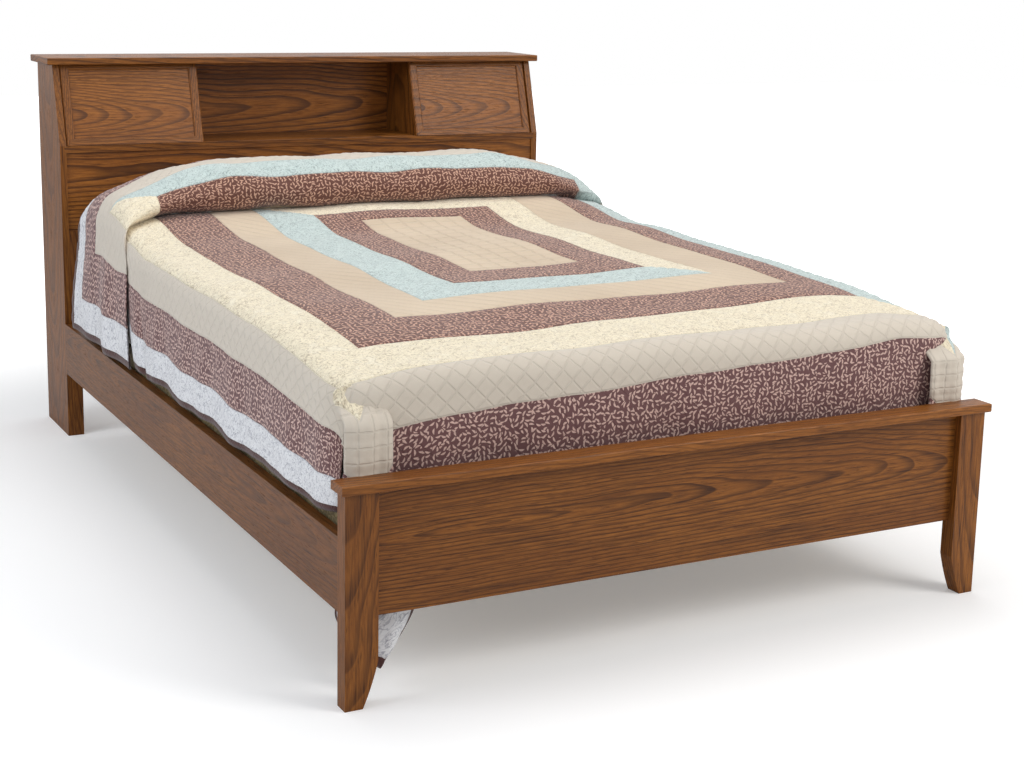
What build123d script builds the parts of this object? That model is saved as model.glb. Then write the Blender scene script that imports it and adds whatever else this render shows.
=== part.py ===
from build123d import *
import math
import os

# A queen-size bookcase storage bed in brown-stained oak, dressed with a box spring, mattress, pillows and quilt.
# Millimetres. X runs across the bed, Y from the foot to the head, Z up. The floor is Z = 0 and the origin is
# the middle of the whole bed's footprint.

# Driving dimensions: the bed as a whole. It is built round a standard queen mattress.
mattress_width = 1524.0
mattress_length = 2032.0
mattress_side_gap = 7.0  # from the mattress to each side rail
mattress_foot_gap = 50.0  # from the back of the foot legs to the mattress
mattress_head_gap = 64.0
headboard_depth = 254.0
headboard_height = 1130.0
footboard_height = 457.0

# Driving dimensions: boards
cap_thickness = 20.0
cap_edge_radius = 3.0
panel_board = 19.0  # end panels, apron, partitions and footboard panel
shelf_thickness = 20.0
back_board = 6.0
rail_board = 25.0
stile_width = 28.0
stile_top = 625.0
shelf_top = 876.0
front_slant = 69.0  # how far the front leans back from the shelf to the cap
apron_setback = 6.0
dado_depth = 6.0
head_cap_side = 19.0
head_cap_front = 26.0
head_cap_back = 6.0
bay_width = 711.0  # the open bay, between the partitions

# Driving dimensions: footboard
foot_leg_width = 70.0
foot_leg_depth = 38.0
foot_leg_toe = 38.0
foot_taper_height = 95.0
foot_taper_bow = 2.5
foot_panel_bottom = 180.0
foot_panel_setback = 19.0
foot_tenon = 10.0
foot_cap_side = 10.0
foot_cap_front = 10.0
foot_cap_back = 10.0

# Driving dimensions: side rails, slats and centre support
rail_bottom = 193.0
rail_height = 152.0
cleat_size = 22.0
cleat_above_rail_bottom = 2.0
cleat_end_gap = 55.0  # the cleats stop short of the posts
slat_width = 89.0
slat_thickness = 19.0
slat_count = 10
slat_side_gap = 3.0
slat_end_margin = 60.0
beam_width = 64.0
beam_height = 36.0
beam_end_gap = 0.3
hanger_plate = 3.0
hanger_lip = 40.0
support_post = 38.0
support_count = 2

# Driving dimensions: hook and slot brackets of the side rails
bracket_width = 14.0
bracket_height = 120.0
bracket_plate = 3.0
bracket_inset = 4.0  # from the outer face of the rail to the plate's edge
hook_height = 34.0
hook_thickness = 3.0
hook_reach = 12.0
hook_lip = 6.0
hook_spacing = 60.0
slot_clearance = 0.5
mortise_depth = 16.0

# Driving dimensions: sliding doors
door_thickness = 16.0
door_frame_width = 27.0
door_recess = 4.0  # front face behind the slanted edges of the end panels
door_side_gap = 2.0
door_lap = 0.0  # how far a closed door stands past the partition into the bay
door_surface_gap = 1.0
tongue_thickness = 6.5
bottom_tongue = 5.7
top_tongue = 5.0
bottom_groove = 6.0
top_groove = 12.0
groove_clearance = 0.5
cut_overrun = 1.0  # how far a groove's cutter stands past the board's face
partition_gap = 2.5
door_panel_thickness = 6.0
door_panel_groove = 8.0
door_panel_play = 0.3
door_edge_round = 5.0
door_bead = 4.0

# Driving dimensions: bedding
mattress_thickness = 280.0
mattress_corner = 70.0
mattress_edge = 20.0
box_spring_thickness = 152.0
box_spring_corner = 35.0
box_spring_edge = 8.0
soft_gap = 0.3
quilt_thickness = 8.0
quilt_hem = 372.0
fold_pitch = 130.0
top_fold_depth = 2.0
side_fold_depth = 7.0
foot_fold_depth = 5.0
roll_depth = 440.0
roll_height = 190.0
roll_radius = 88.0
corner_tail_width = 165.0
corner_tail_bottom = 55.0
pillow_gap = 12.0
pillow_seam_inset = 45.0
pillow_corner = 88.0

# Places worked out from the driving dimensions
bed_width = mattress_width + 2 * (mattress_side_gap + rail_board)  # over the end panels and the foot legs
half_width = bed_width / 2
bed_length = foot_leg_depth + mattress_foot_gap + mattress_length + mattress_head_gap  # up to the headboard legs
overall_length = foot_cap_front + bed_length + headboard_depth + head_cap_back
foot_front = -overall_length / 2 + foot_cap_front
foot_back = foot_front + foot_leg_depth
head_front = foot_front + bed_length
head_back = head_front + headboard_depth
cap_bottom = headboard_height - cap_thickness
foot_cap_bottom = footboard_height - cap_thickness
shelf_bottom = shelf_top - shelf_thickness
rail_top = rail_bottom + rail_height
inside_half = half_width - panel_board
slope_rise = cap_bottom - shelf_top
slope_angle = math.atan(front_slant / slope_rise)
slope_sin = math.sin(slope_angle)
slope_cos = math.cos(slope_angle)
back_panel_front = head_back - back_board
cleat_bottom = rail_bottom + cleat_above_rail_bottom
slat_bottom = cleat_bottom + cleat_size
slat_top = slat_bottom + slat_thickness
box_spring_top = slat_top + soft_gap + box_spring_thickness
mattress_bottom = box_spring_top + soft_gap
mattress_top = mattress_bottom + mattress_thickness
mattress_foot = foot_back + mattress_foot_gap
mattress_head = mattress_foot + mattress_length
lower_rail_front = head_front + apron_setback

os.makedirs("parts", exist_ok=True)
nodes = {}


def block(x0, x1, y0, y1, z0, z1):
    """A plain board between two opposite corners."""
    size = (abs(x1 - x0), abs(y1 - y0), abs(z1 - z0))
    centre = ((x0 + x1) / 2, (y0 + y1) / 2, (z0 + z1) / 2)
    return Pos(*centre) * Box(*size)


def side_profile(points, x0, x1):
    """A board cut to an outline in the plane across the bed, from x0 to x1. Points are (y, z)."""
    outline = Plane(origin=(x0, 0, 0), x_dir=(0, 1, 0), z_dir=(1, 0, 0)) * make_face(Polyline(*points, close=True))
    return extrude(outline, amount=x1 - x0, dir=(1, 0, 0))


def mirrored(shape):
    return mirror(shape, about=Plane.YZ)


def add(name, shape):
    nodes[name] = shape


def add_pair(name, left_shape):
    """The left piece and its mirror image on the right."""
    add(name + "_left", left_shape)
    add(name + "_right", mirrored(left_shape))


# Headboard


def slant_y(z, behind):
    """Y on a plane parallel to the slanted front, a distance behind it."""
    return head_front + (z - shelf_top) * math.tan(slope_angle) + behind / slope_cos


def track_prism(play, z0, z1):
    """The slab that a door's tongue fills, grown by the play and cut between two heights."""
    near = door_recess + (door_thickness - tongue_thickness) / 2 - play
    far = near + tongue_thickness + 2 * play
    outline = [(slant_y(z0, near), z0), (slant_y(z0, far), z0), (slant_y(z1, far), z1), (slant_y(z1, near), z1)]
    return side_profile(outline, -inside_half, inside_half)


def make_end_panel():
    outline = [
        (head_front, 0),
        (head_front, shelf_top),
        (slant_y(cap_bottom, 0), cap_bottom),
        (head_back, cap_bottom),
        (head_back, 0),
    ]
    panel = side_profile(outline, -half_width, -inside_half)
    dado = block(-inside_half - dado_depth, -inside_half, head_front, head_back, shelf_bottom, shelf_top)
    rabbet = block(-inside_half - dado_depth, -inside_half, back_panel_front, head_back, shelf_bottom, cap_bottom)
    return panel - dado - rabbet - post_pocket(head_front, 1)


def make_leg_stile():
    return block(
        -inside_half, -inside_half + stile_width, head_front, head_front + panel_board, 0, stile_top
    )


def make_cap():
    cap = block(
        -half_width - head_cap_side,
        half_width + head_cap_side,
        slant_y(cap_bottom, 0) - head_cap_front,
        head_back + head_cap_back,
        cap_bottom,
        headboard_height,
    )
    cap = fillet(cap.edges().filter_by(Axis.Z, reverse=True), cap_edge_radius)
    return cap - track_prism(groove_clearance, cap_bottom - cut_overrun, cap_bottom + top_groove)


def make_shelf():
    reach = inside_half + dado_depth
    shelf = block(-reach, reach, head_front, back_panel_front, shelf_bottom, shelf_top)
    return shelf - track_prism(groove_clearance, shelf_top - bottom_groove, shelf_top + cut_overrun)


def make_partition():
    behind = door_recess + door_thickness + partition_gap
    outline = [
        (slant_y(shelf_top, behind), shelf_top),
        (slant_y(cap_bottom, behind), cap_bottom),
        (back_panel_front, cap_bottom),
        (back_panel_front, shelf_top),
    ]
    return side_profile(outline, -bay_width / 2 - panel_board, -bay_width / 2)


def make_back_panel():
    reach = inside_half + dado_depth
    return block(-reach, reach, back_panel_front, head_back, shelf_bottom, cap_bottom)


def make_apron():
    front = head_front + apron_setback
    apron = block(-inside_half, inside_half, front, front + panel_board, stile_top - stile_width, shelf_bottom)
    return apron - make_leg_stile() - mirrored(make_leg_stile())


def make_lower_rail():
    reach = inside_half - stile_width
    return block(-reach, reach, lower_rail_front, lower_rail_front + panel_board, rail_bottom, rail_top)


def door_frame_plane():
    """The door's own plane: X along the track, Y up the slope, Z towards the room, from the back face."""
    behind = door_recess + door_thickness
    return Plane(
        origin=(0, slant_y(shelf_top, behind), shelf_top),
        x_dir=(1, 0, 0),
        z_dir=(0, -slope_cos, slope_sin),
    )


def member_profile():
    """A stile or rail in section: outer edge at 0, rounded; inner edge grooved for the panel, with a bead."""
    w, t = door_frame_width, door_thickness
    groove_back = (door_thickness - door_panel_thickness) / 2 - door_panel_play
    groove_front = groove_back + door_panel_thickness + 2 * door_panel_play
    turn = math.sqrt(0.5)
    lines = [
        Line((0, 0), (w, 0)),
        Line((w, 0), (w, groove_back)),
        Line((w, groove_back), (w - door_panel_groove, groove_back)),
        Line((w - door_panel_groove, groove_back), (w - door_panel_groove, groove_front)),
        Line((w - door_panel_groove, groove_front), (w, groove_front)),
        Line((w, groove_front), (w, t - door_bead)),
        ThreePointArc(
            (w, t - door_bead),
            (w - door_bead * (1 - turn), t - door_bead * (1 - turn)),
            (w - door_bead, t),
        ),
        Line((w - door_bead, t), (door_edge_round, t)),
        ThreePointArc(
            (door_edge_round, t),
            (door_edge_round * (1 - turn), t - door_edge_round * (1 - turn)),
            (0, t - door_edge_round),
        ),
        Line((0, t - door_edge_round), (0, 0)),
    ]
    return make_face(lines)


def frame_member(start, along, inward, length):
    """One moulded member, mitred at both ends. Start, along and inward lie in the door's plane."""
    section = Plane(origin=(*start, 0), x_dir=(*inward, 0), z_dir=(*along, 0))
    profile = section * member_profile()
    if Vector(*section.y_dir).Z < 0:
        section = Plane(origin=(start[0] + along[0] * length, start[1] + along[1] * length, 0),
                        x_dir=(*inward, 0), z_dir=(-along[0], -along[1], 0))
        profile = section * member_profile()
    bar = extrude(profile, amount=length, dir=section.z_dir)
    w = door_frame_width

    def at(run, across):
        return (start[0] + along[0] * run + inward[0] * across, start[1] + along[1] * run + inward[1] * across)

    mitre = make_face(Polyline(at(0, 0), at(length, 0), at(length - w, w), at(w, w), close=True))
    return bar & extrude(mitre, amount=door_thickness, dir=(0, 0, 1))


def door_trim():
    """What is cut from a door above and below: all but the tongues that run in the two grooves."""
    far = half_width
    low_face, high_face = shelf_top + door_surface_gap, cap_bottom - door_surface_gap
    low = block(-far, far, head_front - far, head_back + far, shelf_top - far, low_face)
    high = block(-far, far, head_front - far, head_back + far, high_face, headboard_height + far)
    low_tongue = track_prism(0, shelf_top - bottom_tongue, low_face)
    high_tongue = track_prism(0, high_face, cap_bottom + top_tongue)
    return low - low_tongue, high - high_tongue


def make_left_door():
    """The five pieces of the left door, in place."""
    plane = door_frame_plane()
    low = -(bottom_tongue + door_thickness * slope_sin) / slope_cos
    high = (slope_rise + top_tongue) / slope_cos
    x0 = -inside_half + door_side_gap
    x1 = -bay_width / 2 + door_lap
    width, height = x1 - x0, high - low
    members = {
        "stile_outer": frame_member((x0, low), (0, 1), (1, 0), height),
        "stile_inner": frame_member((x1, low), (0, 1), (-1, 0), height),
        "rail_bottom": frame_member((x0, low), (1, 0), (0, 1), width),
        "rail_top": frame_member((x0, high), (1, 0), (0, -1), width),
    }
    low_cut, high_cut = door_trim()
    pieces = {name: (plane.location * bar) - low_cut - high_cut for name, bar in members.items()}
    inset = door_frame_width - door_panel_groove + door_panel_play
    panel_back = (door_thickness - door_panel_thickness) / 2
    panel = block(
        x0 + inset, x1 - inset, low + inset, high - inset, panel_back, panel_back + door_panel_thickness
    )
    pieces["panel"] = plane.location * panel
    return pieces


# Footboard and rails


def post_pocket(face, into):
    """The slot plate's recess in a post's face, with the mortise for the hooks. Into is +1 towards the head."""
    x0 = -half_width + bracket_inset
    z0 = rail_bottom + (rail_height - bracket_height) / 2
    recess = block(x0, x0 + bracket_width, face, face + into * bracket_plate, z0, z0 + bracket_height)
    hook_x = x0 + bracket_width / 2
    half_slot = hook_thickness / 2 + slot_clearance
    mortise = block(
        hook_x - half_slot,
        hook_x + half_slot,
        face,
        face + into * mortise_depth,
        z0 + bracket_plate,
        z0 + bracket_height - bracket_plate,
    )
    return recess + mortise


def hook_heights():
    middle = rail_bottom + rail_height / 2
    return [middle - hook_spacing / 2, middle + hook_spacing / 2]


def make_slot_plate(face, into):
    x0 = -half_width + bracket_inset
    z0 = rail_bottom + (rail_height - bracket_height) / 2
    plate = block(x0, x0 + bracket_width, face, face + into * bracket_plate, z0, z0 + bracket_height)
    hook_x = x0 + bracket_width / 2
    half_slot = hook_thickness / 2 + slot_clearance
    for height in hook_heights():
        slot = block(
            hook_x - half_slot,
            hook_x + half_slot,
            face,
            face + into * bracket_plate,
            height - hook_height / 2 + hook_lip,
            height + hook_height / 2 + hook_lip,
        )
        plate -= slot
    return plate


def make_hook_plate(face, into):
    """The plate let into the rail's end, with two hooks that drop behind the slot plate."""
    x0 = -half_width + bracket_inset
    z0 = rail_bottom + (rail_height - bracket_height) / 2
    plate = block(x0, x0 + bracket_width, face, face - into * bracket_plate, z0, z0 + bracket_height)
    hook_x = x0 + bracket_width / 2
    shank = into * (bracket_plate + slot_clearance)
    for height in hook_heights():
        low = height - hook_height / 2
        outline = Polyline(
            (face, low + hook_lip),
            (face + shank, low + hook_lip),
            (face + shank, low),
            (face + into * hook_reach, low + hook_lip),
            (face + into * hook_reach, low + hook_height - hook_lip),
            (face, low + hook_height),
            close=True,
        )
        flat = Plane(origin=(hook_x - hook_thickness / 2, 0, 0), x_dir=(0, 1, 0), z_dir=(1, 0, 0)) * make_face(outline)
        plate += extrude(flat, amount=hook_thickness, dir=(1, 0, 0))
    return plate


def make_foot_leg():
    outer, inner = -half_width, -half_width + foot_leg_width
    toe = outer + foot_leg_toe
    mid = ((inner + toe) / 2 + foot_taper_bow, foot_taper_height / 2)
    lines = [
        Line((outer, 0), (toe, 0)),
        ThreePointArc((toe, 0), mid, (inner, foot_taper_height)),
        Line((inner, foot_taper_height), (inner, foot_cap_bottom)),
        Line((inner, foot_cap_bottom), (outer, foot_cap_bottom)),
        Line((outer, foot_cap_bottom), (outer, 0)),
    ]
    front = Plane(origin=(0, foot_front, 0), x_dir=(1, 0, 0), z_dir=(0, -1, 0)) * make_face(lines)
    leg = extrude(front, amount=foot_leg_depth, dir=(0, 1, 0))
    return leg - make_foot_panel() - post_pocket(foot_back, -1)


def make_foot_panel():
    reach = half_width - foot_leg_width + foot_tenon
    front = foot_front + foot_panel_setback
    return block(-reach, reach, front, front + panel_board, foot_panel_bottom, foot_cap_bottom)


def make_foot_cap():
    cap = block(
        -half_width - foot_cap_side,
        half_width + foot_cap_side,
        foot_front - foot_cap_front,
        foot_back + foot_cap_back,
        foot_cap_bottom,
        footboard_height,
    )
    return fillet(cap.edges().filter_by(Axis.Z, reverse=True), cap_edge_radius)


def make_side_rail():
    rail = block(-half_width, -half_width + rail_board, foot_back, head_front, rail_bottom, rail_top)
    return rail - make_hook_plate(foot_back, -1) - make_hook_plate(head_front, 1)


def make_cleat():
    inner = -half_width + rail_board
    start, end = foot_back + cleat_end_gap, head_front - cleat_end_gap
    return block(inner, inner + cleat_size, start, end, cleat_bottom, slat_bottom)


def make_slats():
    reach = half_width - rail_board - slat_side_gap
    first = foot_back + slat_end_margin + slat_width / 2
    last = head_front - slat_end_margin - slat_width / 2
    for i in range(slat_count):
        y = first + (last - first) * i / (slat_count - 1)
        slat = block(-reach, reach, y - slat_width / 2, y + slat_width / 2, slat_bottom, slat_top)
        add(f"slat_{i + 1:02d}", slat)


def make_centre_support():
    """The beam under the slats, its two U-shaped hangers and its posts."""
    start = foot_front + foot_panel_setback + panel_board
    end = lower_rail_front
    low = slat_bottom - beam_height
    add("centre_support_beam", block(
        -beam_width / 2, beam_width / 2, start + hanger_plate + beam_end_gap, end - hanger_plate - beam_end_gap,
        low, slat_bottom,
    ))
    outer = beam_width / 2 + beam_end_gap + hanger_plate
    for name, wall, into in (("foot", start, 1), ("head", end, -1)):
        shell = block(-outer, outer, wall, wall + into * hanger_lip, low - hanger_plate - beam_end_gap, slat_bottom)
        hollow = block(
            -outer + hanger_plate, outer - hanger_plate, wall + into * hanger_plate, wall + into * hanger_lip,
            low - beam_end_gap, slat_bottom,
        )
        add("centre_beam_hanger_" + name, shell - hollow)
    for i, name in enumerate(("foot", "head")):
        y = start + (end - start) * (i + 1) / (support_count + 1)
        half = support_post / 2
        add("centre_support_leg_" + name, block(-half, half, y - half, y + half, 0, low))


# Bedding


def soft_block(width, y0, y1, z0, height, corner, edge):
    """A mattress or box spring: rounded corners and softened top and bottom edges."""
    flat = Pos(0, (y0 + y1) / 2, z0) * RectangleRounded(width, y1 - y0, corner)
    body = extrude(flat, amount=height)
    rims = body.edges().filter_by(Axis.Z, reverse=True)
    return fillet(rims, edge)


def make_pillow(x0, x1):
    """A pillow with a crown and drawn-in sides, lying along the headboard."""
    depth = roll_depth - 2 * (quilt_thickness + pillow_gap)
    height = roll_height - quilt_thickness - pillow_gap
    y = mattress_head - roll_depth / 2
    x = (x0 + x1) / 2
    width = x1 - x0
    base = mattress_top + soft_gap
    sections = []
    for level, inset in ((0, pillow_seam_inset), (0.35, pillow_seam_inset / 4), (0.5, 0),
                         (0.65, pillow_seam_inset / 4), (1, pillow_seam_inset)):
        flat = RectangleRounded(width - 2 * inset, depth - 2 * inset, pillow_corner)
        sections.append(Pos(x, y, base + height * level) * flat)
    return loft(sections, ruled=True)


def wavy_strip(start, end, base, depth, out):
    """A strip of cloth seen from above: lines of arcs that bulge out and in by turns.
    Start and end run along the strip, base is its inner face and out is +1 or -1 across it."""
    count = max(2, round(abs(end - start) / fold_pitch))
    step = (end - start) / count
    inner, outer = base, base + out * quilt_thickness

    def row(face, backwards):
        runs = range(count - 1, -1, -1) if backwards else range(count)
        arcs = []
        for i in runs:
            a, b = start + step * i, start + step * (i + 1)
            bulge = depth if i % 2 == 0 else -depth
            middle = ((a + b) / 2, face + out * (bulge + depth))
            ends = ((b, face + out * depth), (a, face + out * depth)) if backwards else (
                (a, face + out * depth), (b, face + out * depth))
            arcs.append((ends[0], middle, ends[1]))
        return arcs

    lines = [ThreePointArc(*arc) for arc in row(inner, False)]
    lines.append(Line((end, inner + out * depth), (end, outer + out * depth)))
    lines += [ThreePointArc(*arc) for arc in row(outer, True)]
    lines.append(Line((start, outer + out * depth), (start, inner + out * depth)))
    return make_face(lines)


def drop(start, end, base, out, fold_depth, along_y):
    """A hanging side of the quilt, almost straight at the mattress's edge and in folds at the hem."""
    top = wavy_strip(start, end, base, top_fold_depth, out)
    hem = wavy_strip(start, end, base, fold_depth, out)
    if along_y:
        turn = Plane(origin=(0, 0, 0), x_dir=(0, 1, 0), z_dir=(0, 0, -1))
        top, hem = turn * top, turn * hem
    return loft([Pos(0, 0, quilt_hem) * hem, Pos(0, 0, mattress_top + soft_gap) * top], ruled=True)


def roll_form(reach, under, wall):
    """The bolster shape over the pillows, rounded along its length, drawn in by the wall."""
    y = mattress_head - roll_depth / 2
    height = 2 * (roll_height - wall)
    section = Plane.YZ * (Pos(y, under) * RectangleRounded(roll_depth - 2 * wall, height, roll_radius - wall))
    along = Pos(wall - reach, 0, 0) * extrude(section, amount=2 * (reach - wall), dir=(1, 0, 0))
    above = block(-bed_width, bed_width, y - roll_depth, y + roll_depth, under, headboard_height)
    return along & above


def make_quilt():
    under = mattress_top + soft_gap
    top = under + quilt_thickness
    edge = mattress_width / 2 + soft_gap
    reach = edge + 2 * top_fold_depth + quilt_thickness
    foot = mattress_foot - soft_gap
    foot_reach = foot - 2 * top_fold_depth - quilt_thickness
    sheet = block(-reach, reach, foot_reach, mattress_head - roll_depth / 2, under, top)
    quilt = sheet + roll_form(reach, under, 0) - roll_form(reach, under, quilt_thickness)
    for out in (-1, 1):
        quilt += drop(foot_reach, mattress_head, out * edge, out, side_fold_depth, True)
    quilt += drop(-reach, reach, foot, -1, foot_fold_depth, False)
    for side in (-1, 1):
        quilt += corner_tail(side, foot, edge)
    return quilt


def corner_tail(side, foot, edge):
    """The corner of the quilt, hanging in a point between the box spring and the footboard."""
    inside = foot - quilt_thickness
    width = corner_tail_width
    low = corner_tail_bottom
    rail_face = half_width - rail_board - soft_gap
    outline = Polyline(
        (rail_face, mattress_bottom),
        (rail_face, low + width),
        (rail_face - width * 0.45, low),
        (rail_face - width * 0.8, low + width * 0.5),
        (rail_face - width, low + width),
        (rail_face - width, mattress_bottom),
        close=True,
    )
    flat = Plane(origin=(0, inside, 0), x_dir=(1, 0, 0), z_dir=(0, -1, 0)) * make_face(outline)
    tail = extrude(flat, amount=quilt_thickness, dir=(0, 1, 0))
    return mirrored(tail) if side < 0 else tail


add_pair("headboard_end_panel", make_end_panel())
add_pair("headboard_leg_stile", make_leg_stile())
add("headboard_cap", make_cap())
add("bookcase_shelf", make_shelf())
add_pair("bookcase_partition", make_partition())
add("bookcase_back_panel", make_back_panel())
add("headboard_apron", make_apron())
add("headboard_lower_rail", make_lower_rail())
for piece_name, piece in make_left_door().items():
    add("left_door_" + piece_name, piece)
    add("right_door_" + piece_name, mirrored(piece))

add_pair("footboard_leg", make_foot_leg())
add("footboard_panel", make_foot_panel())
add("footboard_cap", make_foot_cap())
add_pair("side_rail", make_side_rail())
add_pair("slat_cleat", make_cleat())
make_slats()
make_centre_support()
for end_name, end_face, end_into in (("foot", foot_back, -1), ("head", head_front, 1)):
    add_pair("post_slot_plate_" + end_name, make_slot_plate(end_face, end_into))
    add_pair("rail_hook_plate_" + end_name, make_hook_plate(end_face, end_into))

add("box_spring", soft_block(
    mattress_width, mattress_foot, mattress_head, slat_top + soft_gap, box_spring_thickness, box_spring_corner,
    box_spring_edge,
))
add("mattress", soft_block(
    mattress_width, mattress_foot, mattress_head, mattress_bottom, mattress_thickness, mattress_corner, mattress_edge,
))
pillow_reach = mattress_width / 2 - pillow_gap
add("pillow_left", make_pillow(-pillow_reach, -pillow_gap / 2))
add("pillow_right", make_pillow(pillow_gap / 2, pillow_reach))
add("quilt", make_quilt())

for node_name, node in nodes.items():
    export_step(node, f"parts/{node_name}.step")
print(len(nodes), "pieces,", round(overall_length), "mm long")
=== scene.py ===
import math

import bmesh
import bpy
import numpy as np
from mathutils import Matrix, Vector


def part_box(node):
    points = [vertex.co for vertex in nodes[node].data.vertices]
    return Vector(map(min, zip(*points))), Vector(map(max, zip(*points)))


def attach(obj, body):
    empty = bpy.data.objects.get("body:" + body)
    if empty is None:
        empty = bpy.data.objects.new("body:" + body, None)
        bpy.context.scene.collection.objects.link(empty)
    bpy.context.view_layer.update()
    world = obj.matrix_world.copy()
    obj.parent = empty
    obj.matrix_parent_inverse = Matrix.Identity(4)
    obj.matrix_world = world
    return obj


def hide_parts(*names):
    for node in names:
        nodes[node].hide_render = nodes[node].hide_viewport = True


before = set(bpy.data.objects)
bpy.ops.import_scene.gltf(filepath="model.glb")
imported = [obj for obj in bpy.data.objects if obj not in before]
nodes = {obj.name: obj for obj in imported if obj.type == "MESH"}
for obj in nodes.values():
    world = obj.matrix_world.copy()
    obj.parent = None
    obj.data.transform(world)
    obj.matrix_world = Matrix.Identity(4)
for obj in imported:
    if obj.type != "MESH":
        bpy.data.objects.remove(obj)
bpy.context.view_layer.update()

# Metres, in the row frame: X across the bed, Y from the foot to the head, Z up.
# FOOT is the front face of the foot legs. Lengths along the bed are measured from there.
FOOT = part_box("footboard_leg_left")[0][1]
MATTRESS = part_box("mattress")
RAIL_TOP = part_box("side_rail_left")[1][2]


# ---------------------------------------------------------------- materials

class Wire:
    """A shader socket that Python arithmetic works on. Each operator adds its Math node."""

    def __init__(self, finish, socket):
        self.finish, self.socket = finish, socket

    def math(self, operation, *others):
        return self.finish.node("ShaderNodeMath", {"operation": operation}, [self, *others])

    def __add__(self, other): return self.math("ADD", other)
    def __sub__(self, other): return self.math("SUBTRACT", other)
    def __mul__(self, other): return self.math("MULTIPLY", other)
    def __truediv__(self, other): return self.math("DIVIDE", other)
    def __rsub__(self, other): return self.finish.node("ShaderNodeMath", {"operation": "SUBTRACT"}, [other, self])
    def __neg__(self): return self * -1
    __radd__, __rmul__ = __add__, __mul__

    def step(self, low, high):
        """0 below low, 1 above high, smooth between. The other way round where low is above high."""
        settings = {"interpolation_type": "SMOOTHSTEP", "clamp": True}
        if low > high:
            return 1 - self.step(high, low)
        return self.finish.node("ShaderNodeMapRange", settings, [self, low, high, 0.0, 1.0])


class Finish:
    """A material with one Principled shader, built up from nodes."""

    def __init__(self, name, **constants):
        self.material = bpy.data.materials.new(name)
        self.material.use_nodes = True
        self.tree = self.material.node_tree
        self.tree.nodes.clear()
        output = self.tree.nodes.new("ShaderNodeOutputMaterial")
        self.shader = self.tree.nodes.new("ShaderNodeBsdfPrincipled")
        self.tree.links.new(self.shader.outputs[0], output.inputs[0])
        self.set(**constants)

    def set(self, **values):
        """Sets or links the shader's sockets. Base_Color stands for the socket Base Color."""
        for name, value in values.items():
            self.put(self.shader.inputs[name.replace("_", " ")], value)

    def put(self, socket, value):
        if isinstance(value, Wire):
            self.tree.links.new(value.socket, socket)
        elif isinstance(value, tuple) and len(value) == 3 and socket.type == "RGBA":
            socket.default_value = (*value, 1)
        else:
            socket.default_value = value

    def node(self, kind, settings=None, sockets=(), out=0):
        made = self.tree.nodes.new(kind)
        for name, value in (settings or {}).items():
            if name == "stops":
                ramp = made.color_ramp
                ramp.elements.remove(ramp.elements[1])
                for index, (place, colour) in enumerate(value):
                    stop = ramp.elements[0] if index == 0 else ramp.elements.new(place)
                    stop.position, stop.color = place, (*colour, 1)
            elif name == "ramp_interpolation":
                made.color_ramp.interpolation = value
            else:
                setattr(made, name, value)
        pairs = sockets.items() if isinstance(sockets, dict) else enumerate(sockets)
        for name, value in pairs:
            if value is not None:
                self.put(made.inputs[name], value)
        return Wire(self, made.outputs[out])

    def mix(self, mask, first, second, blend="MIX"):
        return self.node("ShaderNodeMix", {"data_type": "RGBA", "blend_type": blend}, {0: mask, 6: first, 7: second}, 2)

    def split(self, vector):
        parts = self.node("ShaderNodeSeparateXYZ", {}, [vector]).socket.node
        return [Wire(self, parts.outputs[i]) for i in range(3)]

    def join(self, x=0.0, y=0.0, z=0.0):
        return self.node("ShaderNodeCombineXYZ", {}, [x, y, z])

    def noise(self, vector, scale=1.0, detail=2.0, rough=0.5, distortion=0.0):
        sockets = {"Vector": vector, "Scale": scale, "Detail": detail, "Roughness": rough, "Distortion": distortion}
        return self.node("ShaderNodeTexNoise", {}, sockets)

    def place(self):
        """The point on the piece, in metres."""
        return self.node("ShaderNodeTexCoord", {}, {}, 3)

    def bump(self, height, strength=1.0, distance=0.001, normal=None):
        return self.node("ShaderNodeBump", {}, {"Strength": strength, "Distance": distance, "Height": height,
                                               "Normal": normal})


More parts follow.
